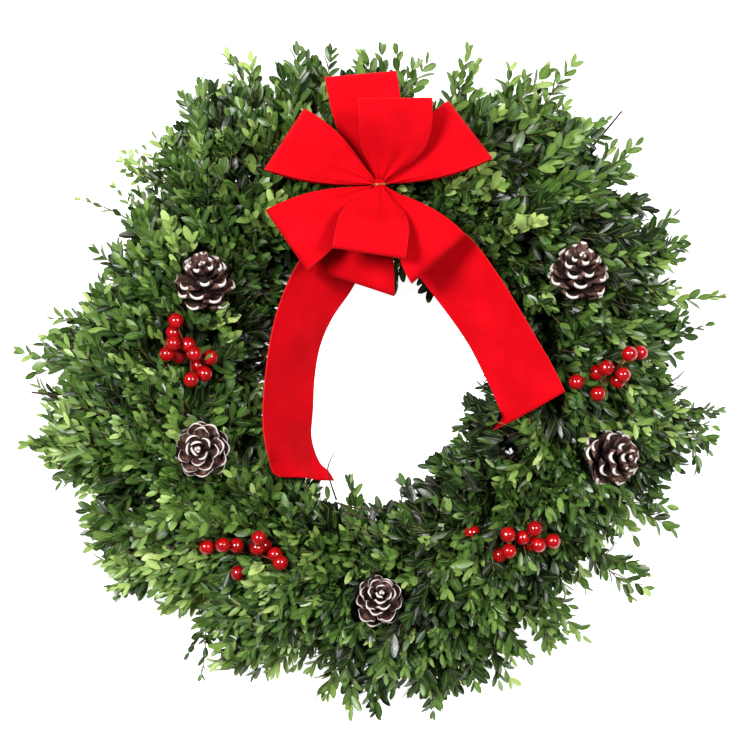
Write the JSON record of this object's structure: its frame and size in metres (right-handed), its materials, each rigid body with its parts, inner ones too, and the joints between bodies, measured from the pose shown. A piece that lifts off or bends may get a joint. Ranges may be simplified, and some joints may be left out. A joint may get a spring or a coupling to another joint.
{
  "type": "boxwood wreath",
  "caption": "Round wreath of leafy boxwood bunches on a wire ring, with pine cones, berry picks and a looped ribbon bow with two tails.",
  "frame": {"origin": "middle of the wreath's bounding box, on the surface that the wire ring lies on", "axes": "+Z out of the wreath's face, towards the viewer; +Y to the top of the wreath, where the bow is; +X to the viewer's right"},
  "size_m": [0.596, 0.574, 0.164],
  "materials": {
    "ring_wire": "dark green painted steel wire",
    "binding_wire": "green florist's wire",
    "boxwood": "fresh boxwood leaves, semi-gloss above and paler below, on thin brown and green twigs",
    "pine_cone": "dark brown dry scales with white painted tips",
    "pick_wire": "brown paper-wrapped wire",
    "berry": "glossy red lacquered berries on brown wrapped stems",
    "ribbon": "bright red flocked velvet ribbon, matt",
    "tie_wire": "gold coloured twisted tie wire"
  },
  "bodies": {
    "root": {"wire_ring": "ring_wire", "binding_wire": "binding_wire", "bunch_01": "boxwood", "bunch_02": "boxwood", "bunch_03": "boxwood", "bunch_04": "boxwood", "bunch_05": "boxwood", "bunch_06": "boxwood", "bunch_07": "boxwood", "bunch_08": "boxwood", "bunch_09": "boxwood", "bunch_10": "boxwood", "bunch_11": "boxwood", "bunch_12": "boxwood", "pine_cone_1": "pine_cone", "pine_cone_2": "pine_cone", "pine_cone_3": "pine_cone", "pine_cone_4": "pine_cone", "pine_cone_5": "pine_cone", "cone_pick_1": "pick_wire", "cone_pick_2": "pick_wire", "cone_pick_3": "pick_wire", "cone_pick_4": "pick_wire", "cone_pick_5": "pick_wire", "berry_pick_1": "berry", "berry_pick_2": "berry", "berry_pick_3": "berry", "berry_pick_4": "berry", "bow_strip_1": "ribbon", "bow_strip_2": "ribbon", "bow_strip_3": "ribbon", "bow_strip_4": "ribbon", "bow_tails": "ribbon", "bow_tie": "tie_wire"}
  },
  "joints": []
}
